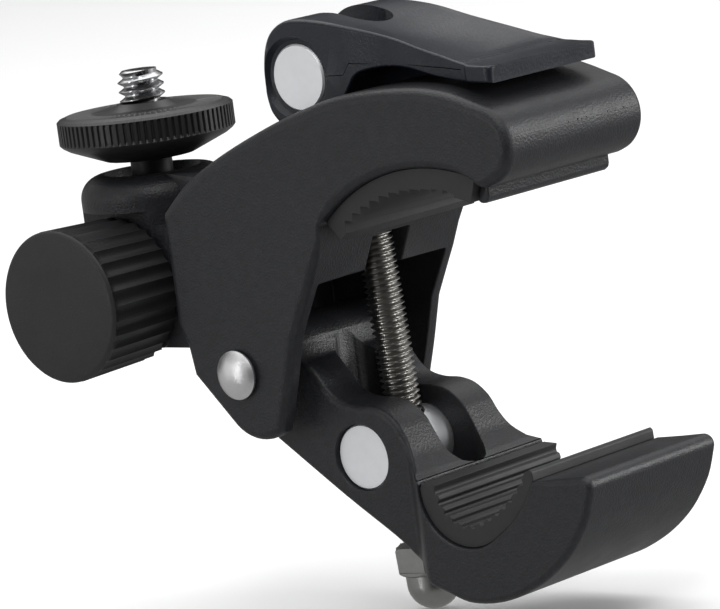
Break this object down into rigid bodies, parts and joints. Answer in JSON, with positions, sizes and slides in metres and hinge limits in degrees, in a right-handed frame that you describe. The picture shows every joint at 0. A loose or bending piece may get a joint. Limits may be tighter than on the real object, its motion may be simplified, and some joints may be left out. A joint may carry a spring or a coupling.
{
  "type": "super clamp with ball head",
  "caption": "Small lever-operated tube clamp with two padded jaws and a screw, and a ball head with a camera stud on its back",
  "frame": {"origin": "centre of the upper pad's gripping arc, on the axis of the thickest tube that the clamp takes", "axes": "+Z along the camera stud, +X out of the mouth of the clamp, +Y across the clamp"},
  "size_m": [0.0937, 0.039, 0.0808],
  "materials": {
    "black_casting": "satin black powder coat on a die casting",
    "lever_casting": "semi-gloss black coat on a die casting",
    "pad_rubber": "moulded black grip pad",
    "rivet_steel": "brushed",
    "barrel_steel": "satin, machined",
    "rod_steel": "zinc plated, threaded",
    "nut_nickel": "satin nickel",
    "screw_steel": "zinc plated",
    "cup_plastic": "acetal",
    "ball_black": "satin",
    "stud_chrome": "bright zinc",
    "black_anodised": "black anodised",
    "knob_plastic": "matt moulded"
  },
  "bodies": {
    "clamp_frame": {"frame": "black_casting", "upper_pad": "pad_rubber", "hinge_rivet": "rivet_steel", "ball_housing": "black_casting", "base_cap": "black_anodised", "mount_screws": "screw_steel", "mount_washers": "screw_steel"},
    "jaw": {"lower_jaw": "black_casting", "lower_pad": "pad_rubber"},
    "jaw_swivel": {"jaw_barrel": "barrel_steel"},
    "lever_swivel": {"lever_barrel": "barrel_steel"},
    "rod": {"clamp_rod": "rod_steel", "cap_nut": "nut_nickel"},
    "lever_arm": {"lever": "lever_casting"},
    "cup": {"ball_cup": "cup_plastic"},
    "ball": {"ball_stem": "ball_black", "camera_stud": "stud_chrome"},
    "wheel": {"lock_wheel": "black_anodised"},
    "side_knob": {"knob": "knob_plastic", "knob_screw": "screw_steel"}
  },
  "joints": [
    {"name": "jaw_pivot", "type": "hinge", "parent": "clamp_frame", "child": "jaw", "pos_m": [-0.0343, 0, -0.0013], "axis": [0, -1, 0], "range_deg": [0, 40]},
    {"name": "barrel_swivel", "type": "hinge", "parent": "jaw", "child": "jaw_swivel", "pos_m": [-0.0199, 0, -0.0136], "axis": [0, -1, 0], "range_deg": [-22.5, 0]},
    {"name": "rod_rock", "type": "hinge", "parent": "clamp_frame", "child": "lever_swivel", "pos_m": [-0.02145, 0, 0.015], "axis": [0, -1, 0], "range_deg": [0, 17.7]},
    {"name": "screw_spin", "type": "hinge", "parent": "lever_swivel", "child": "rod", "pos_m": [-0.0227, 0, 0.0369], "axis": [0.0554, 0, -0.9985], "range_deg": [0, 5045]},
    {"name": "lever_flip", "type": "hinge", "parent": "lever_swivel", "child": "lever_arm", "pos_m": [-0.0227, 0, 0.0369], "axis": [0, -1, 0], "range_deg": [0, 150]},
    {"name": "ball_pan", "type": "hinge", "parent": "clamp_frame", "child": "cup", "pos_m": [-0.0605, 0, 0.0174], "axis": [0, 0, 1], "continuous": true},
    {"name": "ball_tilt", "type": "hinge", "parent": "cup", "child": "ball", "pos_m": [-0.0605, 0, 0.0174], "axis": [0, 1, 0], "range_deg": [-14, 14]},
    {"name": "wheel_spin", "type": "hinge", "parent": "ball", "child": "wheel", "pos_m": [-0.0605, 0, 0.03], "axis": [0, 0, 1], "range_deg": [0, 1080]},
    {"name": "knob_spin", "type": "hinge", "parent": "clamp_frame", "child": "side_knob", "pos_m": [-0.0605, -0.015, 0.0088], "axis": [0, 1, 0], "range_deg": [0, 540]}
  ],
  "couplings": [
    {"joint": "barrel_swivel", "follows": "jaw_pivot", "ratio": -0.56},
    {"joint": "rod_rock", "follows": "jaw_pivot", "ratio": 0.44},
    {"joint": "screw_spin", "follows": "jaw_pivot", "ratio": 126}
  ]
}
